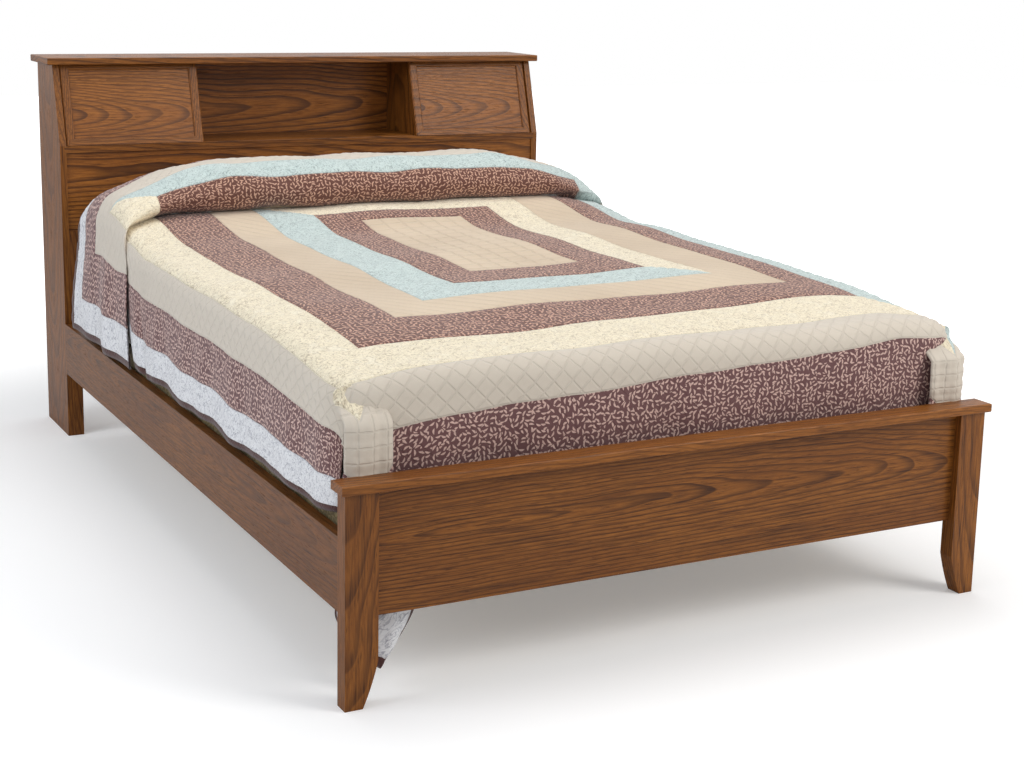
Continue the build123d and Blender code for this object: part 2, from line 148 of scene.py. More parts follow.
def oak(name, along, across, offset=(0.0, 0.0), depth=0.05, tilt=0.04, spacing=0.009, tone_and_painted_light=1.0, figure=1.0,
        strength=0.62):
    """Brown-stained oak. The rings of a log whose pith runs beside the board, a little askew, give the arches."""
    finish = Finish(name, Coat_Weight=0.06, Coat_Roughness=0.22, Specular_IOR_Level=0.22)
    point = finish.split(finish.place())
    rest = ({0, 1, 2} - {along, across}).pop()
    length, width, thick = point[along] - offset[0], point[across] - offset[1], point[rest]
    drift = finish.noise(finish.join(length * 1.6, width * 4.0, thick * 4.0), detail=2.0) - 0.5
    sway = finish.noise(finish.join(length * 7.0, width * 16.0, thick * 16.0), detail=2.0) - 0.5
    inward = length * tilt + depth + thick * 0.6
    side = width + drift * 0.05 * figure
    radius = (side * side + inward * inward).math("SQRT") + sway * 0.007 * figure + drift * 0.03
    ring = (radius / spacing).math("FRACT")
    uneven = finish.noise(finish.join(radius * 60.0, length * 0.7), detail=1.0)
    late = ring.step(0.42, 0.92) * ring.step(1.0, 0.93)
    late = late * (0.45 + uneven * 1.1)
    early = ring.step(0.0, 0.12) * ring.step(0.45, 0.2)
    pores = finish.noise(finish.join(length * 34.0, width * 700.0, thick * 700.0), detail=2.0, rough=0.65)
    dashes = pores.step(0.53, 0.66) * (0.35 + early * 0.65)
    fibre = finish.noise(finish.join(length * 14.0, width * 260.0, thick * 260.0), detail=3.0, rough=0.7)
    streaks = finish.noise(finish.join(length * 9.0, width * 230.0, thick * 230.0), detail=2.0, rough=0.6)
    streaks = streaks.step(0.52, 0.68) * (0.4 + early * 0.4 + late * 0.5)
    shadow = finish.noise(finish.join(length * 2.2, width * 34.0, thick * 34.0), detail=2.0).step(0.55, 0.75)
    tone = finish.noise(finish.join(length * 1.1, width * 5.0, thick * 5.0), detail=3.0)
    # The brightness factor scales all three colours of the board. It is partly the board's own tone and partly painted
    # light and shade: raised on lit boards such as the footboard cap and door panels and on the back panel in its
    # shaded bay, lowered on the side rails.
    pale = (0.310 * tone_and_painted_light, 0.112 * tone_and_painted_light, 0.0185 * tone_and_painted_light)
    mid = (0.180 * tone_and_painted_light, 0.058 * tone_and_painted_light, 0.0090 * tone_and_painted_light)
    dark = (0.032 * tone_and_painted_light, 0.0088 * tone_and_painted_light, 0.0022 * tone_and_painted_light)
    colour = finish.mix(fibre.step(0.28, 0.72), mid, pale)
    colour = finish.mix(tone.step(0.35, 0.75) * 0.5, colour, (mid[0] * 0.8, mid[1] * 0.72, mid[2] * 0.7))
    colour = finish.mix(late * strength, colour, dark)
    colour = finish.mix(dashes * 0.62, colour, dark)
    colour = finish.mix(streaks * 0.75, colour, dark)
    colour = finish.mix(shadow * 0.35, colour, dark)
    height = 1 - dashes * 0.8 - streaks * 0.6 - late * 0.15 + fibre * 0.2
    finish.set(Base_Color=colour, Roughness=0.36 + dashes * 0.25 + fibre * 0.08,
               Normal=finish.bump(height, 0.55, 0.0006))
    return finish.material


def softwood(name):
    """Plain unstained pine for the slats, cleats and the centre support."""
    finish = Finish(name)
    x, y, z = finish.split(finish.place())
    wave = finish.noise(finish.join(x * 1.5, y * 14.0, z * 14.0), detail=3.0)
    lines = (wave * 22.0 + y * 8.0).math("FRACT")
    fibre = finish.noise(finish.join(x * 12.0, y * 300.0, z * 300.0), detail=3.0)
    colour = finish.mix(fibre, (0.62, 0.43, 0.24), (0.72, 0.54, 0.33))
    colour = finish.mix(lines.step(0.6, 0.95) * 0.45, colour, (0.47, 0.27, 0.12))
    finish.set(Base_Color=colour, Roughness=0.62 + fibre * 0.12, Normal=finish.bump(fibre + lines * 0.3, 0.4, 0.0006))
    return finish.material


def zinc(name):
    """Zinc-plated steel with a faint crystal pattern and a patchy haze."""
    finish = Finish(name, Metallic=1.0)
    point = finish.place()
    grain = finish.node("ShaderNodeTexVoronoi", {}, {"Vector": point, "Scale": 160.0}, 1)
    haze = finish.noise(point, 35.0, 4.0)
    colour = finish.mix(haze, (0.42, 0.43, 0.44), (0.63, 0.63, 0.62))
    colour = finish.mix(0.12, colour, grain)
    finish.set(Base_Color=colour, Roughness=0.30 + haze * 0.28, Normal=finish.bump(haze, 0.2, 0.0004))
    return finish.material


# Cloth colours of the quilt
TAN, TAN_DEEP = (0.66, 0.53, 0.385), (0.58, 0.455, 0.325)
BROWN, BROWN_LEAF = (0.130, 0.046, 0.032), (0.66, 0.40, 0.29)
CREAM, CREAM_MARK = (0.84, 0.75, 0.565), (0.36, 0.27, 0.175)
BLUE, BLUE_MARK = (0.46, 0.555, 0.54), (0.15, 0.20, 0.205)
WHITE, WHITE_MARK = (0.78, 0.78, 0.79), (0.25, 0.25, 0.30)
BINDING = (0.055, 0.02, 0.018)


def quilt_cloth(name):
    """Printed cotton bands round a plain centre. The map "rings" counts the bands out from the centre, and the map
    "cloth" is the flat quilt in metres."""
    finish = Finish(name, Sheen_Weight=0.25, Sheen_Roughness=0.5, Specular_IOR_Level=0.25)
    p, q, _ = finish.split(finish.node("ShaderNodeUVMap", {"uv_map": "rings"}))
    cloth = finish.node("ShaderNodeUVMap", {"uv_map": "cloth"})
    u, v, _ = finish.split(cloth)
    wobble = finish.noise(cloth, 9.0, 1.0) * 0.04 - 0.02
    ring = p.math("ABSOLUTE").math("MAXIMUM", q.math("ABSOLUTE")) + wobble
    lower = (p + q).math("LESS_THAN", 0.0)

    def between(first, last):
        return ring.math("GREATER_THAN", first) * ring.math("LESS_THAN", last)

    brown = between(1, 2) + between(4, 5) + between(7, 8)
    second, fifth = between(2, 3), between(5, 6)
    blue = second * lower + fifth * (1 - lower)
    cream = fifth * lower + second * (1 - lower)
    white = between(8, 9)
    edge = ring.math("GREATER_THAN", 9.0)

    weave = finish.noise(finish.join(u * 900.0, v * 900.0), detail=2.0)
    soil = finish.noise(cloth, 3.0, 3.0)

    # Small leaves, one to a cell, each turned its own way
    cells = {"Vector": cloth, "Scale": 84.0, "Randomness": 0.7}
    middle = finish.node("ShaderNodeTexVoronoi", {}, cells, 2)
    chance = finish.split(finish.node("ShaderNodeTexVoronoi", {}, cells, 1))[0]
    scaled = finish.node("ShaderNodeVectorMath", {"operation": "SCALE"}, {0: cloth, 3: 84.0})
    offset = finish.node("ShaderNodeVectorMath", {"operation": "SUBTRACT"}, [scaled, finish.node(
        "ShaderNodeVectorMath", {"operation": "SCALE"}, {0: middle, 3: 84.0})])
    turned = finish.node("ShaderNodeVectorRotate", {"rotation_type": "Z_AXIS"},
                         {"Vector": offset, "Angle": chance * 6.28})
    leaf_x, leaf_y, _ = finish.split(turned)
    leaf_y = leaf_y + leaf_x * leaf_x * 0.5 - 0.06
    body = 0.215 * (1 - leaf_x * leaf_x * 2.6)
    leaf = (body - leaf_y.math("ABSOLUTE")).step(0.0, 0.07)
    tiny = finish.noise(cloth, 260.0, 2.0)
    leaves = leaf * (0.55 + tiny * 0.6)

    # Meandering contour lines for the scroll and flower prints
    wander = finish.noise(cloth, 55.0, 2.0, 0.5, 1.2)
    scroll = ((wander * 5.0).math("FRACT") - 0.5).math("ABSOLUTE").step(0.16, 0.05)
    flower = finish.noise(cloth, 24.0, 3.0, 0.6, 1.5)
    petals = ((flower * 6.0).math("FRACT") - 0.5).math("ABSOLUTE").step(0.14, 0.04)
    dots = finish.node("ShaderNodeTexVoronoi", {}, {"Vector": cloth, "Scale": 150.0}, 0).step(0.34, 0.2)

    tan_cloth = finish.mix(soil.step(0.3, 0.7), TAN, TAN_DEEP)
    # Past the fifth band, where the quilt hangs over the sides and the foot, the tan turns greyer and bluer: painted
    # shade and skylight on the hanging drops.
    tan_cloth = finish.mix(ring.math("GREATER_THAN", 5.5), tan_cloth, (0.635, 0.565, 0.475))
    brown_cloth = finish.mix(leaves, finish.mix(tiny, BROWN, (0.15, 0.07, 0.055)), BROWN_LEAF)
    plum_cloth = finish.mix(leaves, finish.mix(tiny, (0.140, 0.056, 0.056), (0.16, 0.085, 0.085)), (0.72, 0.50, 0.43))
    brown_cloth = finish.mix(ring.math("GREATER_THAN", 5.5), brown_cloth, plum_cloth)
    cream_cloth = finish.mix(scroll * 0.5 + petals * 0.35, CREAM, CREAM_MARK)
    cream_cloth = finish.mix(flower.step(0.52, 0.66) * 0.35, cream_cloth, (0.86, 0.80, 0.66))
    blue_cloth = finish.mix(scroll * 0.55 + dots * 0.3, finish.mix(flower, BLUE, (0.64, 0.72, 0.69)), BLUE_MARK)
    white_cloth = finish.mix(petals * 0.5 + scroll * 0.35, WHITE, WHITE_MARK)
    colour = tan_cloth
    for mask, print_colour in ((brown, brown_cloth), (cream, cream_cloth), (blue, blue_cloth), (white, white_cloth),
                               (edge, finish.mix(weave, BINDING, (0.09, 0.035, 0.03)))):
        colour = finish.mix(mask, colour, print_colour)

    # Quilting: a square grid in the middle, slanting lines in the third band, diamonds elsewhere
    def channel(value, pitch, width):
        """1 on the stitched lines at this pitch."""
        return ((value / pitch).math("FRACT") - 0.5).math("ABSOLUTE").step(0.5 - width, 0.5 - width * 0.25)

    grid = channel(u, 0.052, 0.10).math("MAXIMUM", channel(v, 0.052, 0.10))
    slant = channel(u + v, 0.046, 0.12)
    diamonds = channel(u + v, 0.044, 0.10).math("MAXIMUM", channel(u - v, 0.044, 0.10))
    centre, third, sixth = ring.math("LESS_THAN", 1.0), between(3, 4), between(6, 7)
    stitches = centre * grid + third * slant + sixth * diamonds * 0.6 + (1 - centre - third - sixth) * diamonds * 0.35
    seam = (ring.math("FRACT") - 0.5).math("ABSOLUTE").step(0.465, 0.495) * ring.math("GREATER_THAN", 0.5)
    groove = stitches.math("MAXIMUM", seam)
    pucker = finish.noise(cloth, 34.0, 3.0, 0.6)
    # The stitched grooves and band seams are darkened a little: painted shade in the quilted hollows.
    colour = finish.mix(groove * 0.12, colour, finish.mix(0.5, colour, (0.05, 0.03, 0.02)))
    height = 1 - groove * 0.9 + pucker * 0.55 + weave * 0.06
    finish.set(Base_Color=colour, Roughness=0.82 + weave * 0.12, Normal=finish.bump(height, 0.65, 0.0035))
    return finish.material


def ticking(name, base, stripe, pitch):
    """Woven cotton with stripes, for the mattress and the pillows."""
    finish = Finish(name, Sheen_Weight=0.2)
    point = finish.place()
    x, y, z = finish.split(point)
    threads = finish.noise(finish.join(x * 900.0, y * 900.0, z * 900.0), detail=1.0)
    bands = ((x / pitch).math("FRACT") - 0.5).math("ABSOLUTE").step(0.1, 0.06)
    tufts = finish.noise(point, 18.0, 3.0)
    finish.set(Base_Color=finish.mix(bands * 0.6, finish.mix(threads, base, tuple(c * 0.9 for c in base)), stripe),
               Roughness=0.85 + threads * 0.1, Normal=finish.bump(tufts + threads * 0.1, 0.5, 0.002))
    return finish.material


def damask(name):
    """Olive-gold damask with a scrolling figure, on the box spring."""
    finish = Finish(name, Sheen_Weight=0.3)
    point = finish.place()
    x, y, z = finish.split(point)
    figure = finish.noise(point, 24.0, 2.0, 0.5, 1.8)
    scroll = ((figure * 5.0).math("FRACT") - 0.5).math("ABSOLUTE").step(0.24, 0.12)
    threads = finish.noise(finish.join(x * 800.0, y * 800.0, z * 1600.0), detail=1.0)
    colour = finish.mix(scroll, (0.15, 0.10, 0.026), (0.36, 0.265, 0.09))
    colour = finish.mix(threads * 0.4, colour, (0.05, 0.035, 0.012))
    finish.set(Base_Color=colour, Roughness=0.75 - scroll * 0.3, Normal=finish.bump(scroll * 0.5 + threads, 0.4, 0.001))
    return finish.material


# Which way the grain runs (0 is X, 1 is Y, 2 is Z), the axis across the board, how the board was sawn, and a brightness
# factor for each board that is partly its own tone and partly painted light and shade
BOARDS = {
    "headboard_end_panel_left": dict(along=2, across=1, offset=(0.2, 1.10), tone_and_painted_light=0.92, spacing=0.007, strength=0.45),
    "headboard_end_panel_right": dict(along=2, across=1, offset=(0.5, 1.08), tone_and_painted_light=0.92, spacing=0.007, strength=0.45),
    "headboard_leg_stile_left": dict(along=2, across=0, offset=(0.4, -0.95), tone_and_painted_light=0.9, spacing=0.0045, figure=0.4, strength=0.5),
    "headboard_leg_stile_right": dict(along=2, across=0, offset=(0.1, 0.93), tone_and_painted_light=0.9, spacing=0.0045, figure=0.4, strength=0.5),
    "headboard_cap": dict(along=0, across=1, offset=(0.3, 1.02), tone_and_painted_light=0.95),
    "bookcase_shelf": dict(along=0, across=1, offset=(-0.4, 1.0), tone_and_painted_light=0.95),
    "bookcase_partition_left": dict(along=2, across=1, offset=(0.9, 1.05), tone_and_painted_light=0.85),
    "bookcase_partition_right": dict(along=2, across=1, offset=(0.7, 1.12), tone_and_painted_light=0.85),
    "bookcase_back_panel": dict(along=0, across=2, offset=(-0.30, 0.955), depth=-1.17 * 0.6, tilt=0.075,
                                spacing=0.0135, tone_and_painted_light=1.35, strength=0.8),
    "headboard_apron": dict(along=0, across=2, offset=(0.25, 0.80), depth=-0.50, tone_and_painted_light=1.17, spacing=0.011, strength=0.75),
    "headboard_lower_rail": dict(along=0, across=2, offset=(0.1, 0.24), tone_and_painted_light=0.9),
    "footboard_leg_left": dict(along=2, across=0, offset=(0.3, -0.86), tone_and_painted_light=1.0, spacing=0.0045, figure=0.4, strength=0.5),
    "footboard_leg_right": dict(along=2, across=0, offset=(0.2, 0.86), tone_and_painted_light=1.0, spacing=0.0045, figure=0.4, strength=0.5),
    "footboard_panel": dict(along=0, across=2, offset=(0.35, 0.33), depth=0.76, tilt=0.05, spacing=0.0085, tone_and_painted_light=1.0),
    "footboard_cap": dict(along=0, across=1, offset=(-0.2, -1.35), tone_and_painted_light=1.15, spacing=0.006, strength=0.45),
    "side_rail_left": dict(along=1, across=2, offset=(0.4, 0.30), depth=0.50, tilt=0.06, tone_and_painted_light=0.78, spacing=0.008, strength=0.4),
    "side_rail_right": dict(along=1, across=2, offset=(-0.3, 0.25), depth=-0.44, tilt=0.06, tone_and_painted_light=0.78, spacing=0.008, strength=0.4),
}
for side, start in (("left", -0.50), ("right", 0.60)):
    BOARDS[side + "_door_panel"] = dict(along=0, across=2, offset=(start, 0.965), depth=-0.55, tilt=0.12,
                                        spacing=0.009, tone_and_painted_light=1.16)
    for part, axis in (("stile_outer", 2), ("stile_inner", 2), ("rail_bottom", 0), ("rail_top", 0)):
        BOARDS[f"{side}_door_{part}"] = dict(along=axis, across=2 - axis, offset=(start * 0.7, 0.4), tone_and_painted_light=1.02,
                                             spacing=0.006)


def finish_frame():
    """Gives every carried-over CAD node its wood or metal."""
    pine, plated = softwood("plain_pine"), zinc("zinc_plate")
    for name, node in nodes.items():
        if name in BOARDS:
            material = oak("oak_" + name, **BOARDS[name])
        elif "plate" in name or "hanger" in name:
            material = plated
        elif name in SOFT:
            continue
        else:
            material = pine
        for slot in node.material_slots:
            slot.material = material


SOFT = ("box_spring", "mattress", "pillow_left", "pillow_right", "quilt")


# ---------------------------------------------------------------- bedding

def smooth(value, low, high):
    t = np.clip((np.asarray(value, float) - low) / (high - low), 0, 1)
    return t * t * (3 - 2 * t)


def mesh_piece(name, points, faces, material, uv_maps=None):
    """A mesh object from points and faces. uv_maps gives each map's value at each point."""
    mesh = bpy.data.meshes.new(name)
    mesh.from_pydata([tuple(map(float, p)) for p in points], [], [tuple(map(int, f)) for f in faces])
    for map_name, values in (uv_maps or {}).items():
        layer = mesh.uv_layers.new(name=map_name)
        corner = np.zeros(len(mesh.loops), np.int32)
        mesh.loops.foreach_get("vertex_index", corner)
        layer.data.foreach_set("uv", np.asarray(values, np.float32)[corner].ravel())
    mesh.materials.append(material)
    mesh.polygons.foreach_set("use_smooth", [True] * len(mesh.polygons))
    mesh.update()
    piece = bpy.data.objects.new(name, mesh)
    bpy.context.scene.collection.objects.link(piece)
    return piece


def apply_modifiers(piece):
    """Bakes the piece's modifiers into its mesh."""
    graph = bpy.context.evaluated_depsgraph_get()
    done = bpy.data.meshes.new_from_object(piece.evaluated_get(graph))
    piece.modifiers.clear()
    piece.data = done


def thicken(piece, thickness, offset=-1):
    modifier = piece.modifiers.new("thickness", "SOLIDIFY")
    modifier.thickness, modifier.offset = thickness, offset
    apply_modifiers(piece)


def grid_faces(rows, columns, base=0, keep=None):
    faces = []
    for i in range(rows - 1):
        for j in range(columns - 1):
            if keep is None or keep(i, j):
                a = base + i * columns + j
                faces.append((a, a + 1, a + columns + 1, a + columns))
    return faces


def spline(knots, values, at):
    """A smooth curve through the values at the knots, with no overshoot (monotone cubic)."""
    knots, values, at = np.asarray(knots, float), np.asarray(values, float), np.asarray(at, float)
    gap = np.diff(knots)
    slope = np.diff(values) / gap
    tangent = np.empty_like(values)
    tangent[0], tangent[-1] = slope[0], slope[-1]
    same = slope[:-1] * slope[1:] > 0
    tangent[1:-1] = np.where(same, 2 * slope[:-1] * slope[1:] / np.where(same, slope[:-1] + slope[1:], 1), 0)
    i = np.clip(np.searchsorted(knots, at, side="right") - 1, 0, len(gap) - 1)
    t = np.clip((at - knots[i]) / gap[i], 0, 1)
    return ((2 * t**3 - 3 * t**2 + 1) * values[i] + (t**3 - 2 * t**2 + t) * gap[i] * tangent[i]
            + (3 * t**2 - 2 * t**3) * values[i + 1] + (t**3 - t**2) * gap[i] * tangent[i + 1])


# The quilt, flat: u runs across it from the bed's centre line and v along it from FOOT, in metres.
# Where each band ends, from the centre patch out: nine bands and the binding.
LEFT_LINES = (-0.105, -0.222, -0.368, -0.496, -0.652, -0.772, -0.866, -0.978, -1.050, -1.062)
RIGHT_LINES = (0.205, 0.322, 0.440, 0.582, 0.684, 0.784, 0.878, 0.990, 1.062, 1.074)
FOOT_LINES = (0.868, 0.727, 0.593, 0.468, 0.310, 0.142, 0.026, -0.165, -0.215, -0.227)
HEAD_LINES = (1.556, 1.618, 1.740, 1.820, 1.950, 2.040, 2.150, 2.270, 2.345, 2.358)
QUILT_SKEW = 0.055
TOP_RADIUS = 0.05
SIDE = 0.778
FOOT_FACE = 0.076
FOOT_RADIUS = 0.045
CREASE, ROLL_START = 1.70, 1.82
CORNER = 0.115
HEM = 0.364


def ring_place(value, low_lines, high_lines):
    """How many bands out from the centre, negative on the low side."""
    centre = (low_lines[0] + high_lines[0]) / 2
    knots = list(reversed(low_lines)) + [centre] + list(high_lines)
    counts = [-(k + 1) for k in reversed(range(len(low_lines)))] + [0] + [k + 1 for k in range(len(high_lines))]
    return np.interp(value, knots, counts)


def over_edge(value, edge, radius):
    """Cloth laid over an edge at +edge: (how far across it lies, how far it has dropped)."""
    past = value - (edge - radius)
    turn = np.clip(past / radius, 0, math.pi / 2)
    across = np.where(past < 0, value, edge - radius + radius * np.sin(turn))
    drop = np.where(past < 0, 0, radius * (1 - np.cos(turn)) + np.clip(past - radius * math.pi / 2, 0, None))
    return across, drop


def waves(place, pitches, seed):
    """Uneven folds: sines of several pitches, from -1 to 1."""
    rng = np.random.default_rng(seed)
    total = 0
    for k, pitch in enumerate(pitches):
        total = total + np.sin(2 * math.pi * (place / pitch + rng.random())) / (k + 1)
    return total / sum(1 / (k + 1) for k in range(len(pitches)))


def top_height(x, y):
    """The lie of the quilt on the mattress: it rises from the foot to the pillows and rounds off at the sides."""
    level = 0.645 + 0.035 * smooth(y, 0.05, 0.65) + 0.012 * smooth(y, 0.6, 1.5)
    level = level + 0.042 * smooth(y, 1.42, 1.72) * (1 - 0.5 * np.abs(x / 0.80) ** 4)
    level = level - 0.012 * smooth(np.abs(x), 0.58, 0.76)
    return level + 0.003 * waves(x + 0.4 * y, (0.53, 0.31), 3) + 0.003 * waves(y - 0.3 * x, (0.47, 0.29), 4)


# The roll's section over the pillows, by v
SECTION_V = (1.820, 1.850, 1.890, 1.940, 1.990, 2.040, 2.090, 2.150, 2.220, 2.290, 2.358)
SECTION_Y = (1.712, 1.684, 1.672, 1.690, 1.728, 1.775, 1.826, 1.890, 1.970, 2.050, 2.096)
SECTION_Z = (0.736, 0.752, 0.784, 0.824, 0.850, 0.862, 0.864, 0.858, 0.832, 0.780, 0.716)
# How much of the roll's height is left towards its ends
CREST_X = (-0.80, -0.74, -0.665, -0.59, -0.53, -0.43, 0.38, 0.48, 0.60, 0.68, 0.74, 0.80)
CREST = (0.24, 0.44, 0.62, 0.80, 0.90, 0.99, 1.00, 0.92, 0.74, 0.58, 0.40, 0.20)


def quilt_point(u, v):
    """Where a point of the flat quilt lies, by arrays u and v."""
    x_side, side_drop = over_edge(np.abs(u), SIDE, TOP_RADIUS)
    x = np.sign(u) * x_side
    left = u < 0
    whole_drop = np.where(left, over_edge(-LEFT_LINES[-1], SIDE, TOP_RADIUS)[1],
                          over_edge(RIGHT_LINES[-1], SIDE, TOP_RADIUS)[1])
    # The main sheet
    y_foot, foot_drop = over_edge(-v, -FOOT_FACE, FOOT_RADIUS)
    y = np.where(v < FOOT_FACE + FOOT_RADIUS, -y_foot, v)
    level = top_height(x, y)
    z = level - side_drop / whole_drop * (level - HEM) - foot_drop * (1 - side_drop / whole_drop)
    slant = smooth(v, 1.25, CREASE) * smooth(np.abs(u), 0.60, 0.80)
    y = y - slant * (np.where(left, 0.13, 0.02) + np.clip(side_drop, 0, 0.4) * 0.42)
    fold = waves(v + 0.05 * side_drop, (0.33, 0.19, 0.12), 11)
    reach = smooth(side_drop, 0.03, 0.30)
    x = x + np.sign(u) * reach * (0.010 + 0.008 * fold)
    z = z + reach * 0.004 * (1 + waves(v, (0.41, 0.23), 12))
    foot_reach = smooth(foot_drop, 0.02, 0.25)
    y = y - foot_reach * 0.008 * waves(u, (0.37, 0.21, 0.13), 13) * (1 - smooth(np.abs(u), 0.70, 0.78))

    # The tuck under the pillows
    tuck = (v > CREASE) & (v < ROLL_START)
    t = np.clip((v - CREASE) / (ROLL_START - CREASE), 0, 1)
    inward = np.sin(t * math.pi)
    y_tuck = (1.702 + 0.01 * t) + 0.075 * inward
    z_tuck = top_height(x_side * np.sign(u), np.full_like(v, 1.70)) + 0.004 * t
    y_tuck = y_tuck - smooth(np.abs(u), 0.60, 0.80) * np.where(left, 0.10, 0.01)
    z_tuck = z_tuck - side_drop * 0.40
    x_tuck = np.sign(u) * np.minimum(x_side, SIDE - 0.006)

    # The roll over the pillows and the flaps at its ends
    roll = v >= ROLL_START
    share = (v - ROLL_START) / (HEAD_LINES[-1] - ROLL_START)
    y_mid, z_mid = spline(SECTION_V, SECTION_Y, v), spline(SECTION_V, SECTION_Z, v)
    height = spline(CREST_X, CREST, np.clip(x, -0.80, 0.80))
    base = 0.700 + 0.036 * (1 - smooth(v, 1.82, 1.95)) + 0.01 * share
    level = base + height * (z_mid - base)
    z_roll = level - side_drop / whole_drop * (level - HEM)
    y_flap = np.where(left, 1.555 + share * 0.485, 1.71 + share * 0.37)
    y_flap = y_flap - left * np.clip(side_drop, 0, 0.4) * 0.30 * (1 - share)
    mix = smooth(np.abs(u), 0.56, 0.86)
    y_roll = y_mid * (1 - mix) + y_flap * mix
    flap_reach = smooth(side_drop, 0.0, 0.25)
    x_roll = x + np.sign(u) * flap_reach * (0.016 + 0.006 * waves(v, (0.21, 0.13), 21))
    z_roll = z_roll + 0.004 * waves(u + v, (0.31, 0.19), 22) * (1 - flap_reach)

    x = np.where(tuck, x_tuck, np.where(roll, x_roll, x))
    y = np.where(tuck, y_tuck, np.where(roll, y_roll, y))
    z = np.where(tuck, z_tuck, np.where(roll, z_roll, z))

    # The mattress corners at the foot are rounded in plan
    cx, cy = SIDE + 0.02 - CORNER, FOOT_FACE - 0.012 + CORNER
    px, py = np.clip((np.abs(x) - cx) / CORNER, 0, 1.1), np.clip((cy - y) / CORNER, 0, 1.1)
    near = (np.abs(x) > cx) & (y < cy)
    rx, ry = px * np.sqrt(1 - py * py / 2), py * np.sqrt(1 - px * px / 2)
    x = np.where(near, np.sign(x) * (cx + rx * CORNER), x)
    y = np.where(near, cy - ry * CORNER, y)
    return np.stack([x, y, z], -1)


def corner_strip(side):
    """A corner of the quilt: a hanging fold in front of the foot face, running down into a pointed tail.
    Returns its points, faces and flat coordinates. The left one reaches below the footboard."""
    rows, columns = 120, 25
    length = 0.572 if side < 0 else 0.400
    points, flat = [], []
    for i in range(rows):
        t = i / (rows - 1)
        down = 0.012 + t * length
        shown = float(smooth(down, 0.02, 0.085))
        low = float(smooth(down, 0.26, 0.42))
        wide = (0.100 + 0.058 * low) * (1 - 0.92 * max(0.0, (t - 0.80) / 0.20) ** 1.3)
        along = 0.707 * min(down, 0.2) + 0.515 * max(0.0, down - 0.2)
        for j in range(columns):
            s = j / (columns - 1)
            across = (s - 0.31 - 0.19 * low) * wide
            curl = (2 * s - 1) ** 6
            x = -SIDE + 0.006 + 0.31 * 0.100 + across + 0.045 * low
            y = FOOT_FACE + 0.030 - 0.058 * shown + 0.009 * curl + 0.003 * math.sin(s * 9 + t * 5)
            y += 0.012 * low + 0.03 * low * (1 - s) ** 2
            z = 0.634 - 0.014 * (1 - shown) * curl - down
            a, b = along - across * 0.707 * (1 - 0.8 * low), along + across * 0.707
            if down > 0.36 and (s > 0.93 or s < 0.04):
                a = 0.334  # the binding along the tail's edges
            points.append((x * -side, FOOT + y, z))
            flat.append((-(0.722 + a), 0.148 - b) if side < 0 else (0.734 + a, 0.234 - b))
    return points, grid_faces(rows, columns), flat


def make_quilt(material):
    """The quilt, with its folds, roll, flaps and corner tails, in one piece."""
    pitch = 0.0105
    u = np.linspace(LEFT_LINES[-1], RIGHT_LINES[-1], int((RIGHT_LINES[-1] - LEFT_LINES[-1]) / pitch) + 1)
    stops = [FOOT_LINES[-1], CREASE, ROLL_START, HEAD_LINES[-1]]
    v = np.concatenate([np.linspace(a, b, max(4, int((b - a) / pitch)), endpoint=False)
                        for a, b in zip(stops, stops[1:])] + [[stops[-1]]])
    grid_u, grid_v = np.meshgrid(u, v)
    points = quilt_point(grid_u, grid_v)
    points[..., 1] += FOOT
    rows, columns = grid_u.shape
    past_side = np.abs(grid_u) > SIDE + TOP_RADIUS * (math.pi / 2 - 1) + 0.004
    past_foot = grid_v < FOOT_FACE - FOOT_RADIUS * (math.pi / 2 - 1) - 0.004
    gone = past_side & past_foot
    faces = grid_faces(rows, columns, 0, lambda i, j: not (gone[i, j] and gone[i + 1, j + 1]))
    points, flat = points.reshape(-1, 3), np.stack([grid_u.ravel(), grid_v.ravel()], -1)
    for side in (-1, 1):
        more, more_faces, more_flat = corner_strip(side)
        base = len(points)
        points = np.concatenate([points, np.array(more)])
        flat = np.concatenate([flat, np.array(more_flat)])
        if side < 0:
            more_faces = [tuple(reversed(f)) for f in more_faces]
        faces += [tuple(base + k for k in face) for face in more_faces]
    skewed = flat[:, 1] - QUILT_SKEW * flat[:, 0] * smooth(-flat[:, 1], -1.5, -0.1)
    rings = np.stack([ring_place(flat[:, 0], LEFT_LINES, RIGHT_LINES),
                      ring_place(skewed, FOOT_LINES, HEAD_LINES)], -1)
    rings[:, 1] = np.clip(rings[:, 1], -9.9, 9.9)
    quilt = mesh_piece("quilt_cover", points, faces, material, {"cloth": flat, "rings": rings})
    puff(quilt, flat, rings)
    loose = bmesh.new()
    loose.from_mesh(quilt.data)
    bmesh.ops.delete(loose, geom=[p for p in loose.verts if not p.link_faces], context="VERTS")
    loose.to_mesh(quilt.data)
    loose.free()
    thicken(quilt, 0.006)
    return quilt


def puff(quilt, flat, rings):
    """Raises the padding between the quilted lines along the surface's normals."""
    ring = np.abs(rings).max(1)
    u, v = flat[:, 0], flat[:, 1]

    def pillow(value, pitch):
        return np.abs(np.cos(math.pi * value / pitch))

    grid = np.minimum(pillow(u, 0.052), pillow(v, 0.052))
    diamonds = np.minimum(pillow(u + v, 0.044), pillow(u - v, 0.044))
    slant = pillow(u + v, 0.046)
    rise = np.where(ring < 1, grid, np.where((ring > 3) & (ring < 4), slant * 0.8, diamonds))
    seam = np.abs(ring - np.round(ring))
    rise = rise ** 0.6 * smooth(seam, 0.0, 0.10) * 0.0028
    normals = np.zeros(len(quilt.data.vertices) * 3, np.float32)
    places = np.zeros_like(normals)
    quilt.data.vertices.foreach_get("normal", normals)
    quilt.data.vertices.foreach_get("co", places)
    moved = places.reshape(-1, 3) + normals.reshape(-1, 3) * rise[:, None]
    quilt.data.vertices.foreach_set("co", moved.astype(np.float32).ravel())
    quilt.data.update()


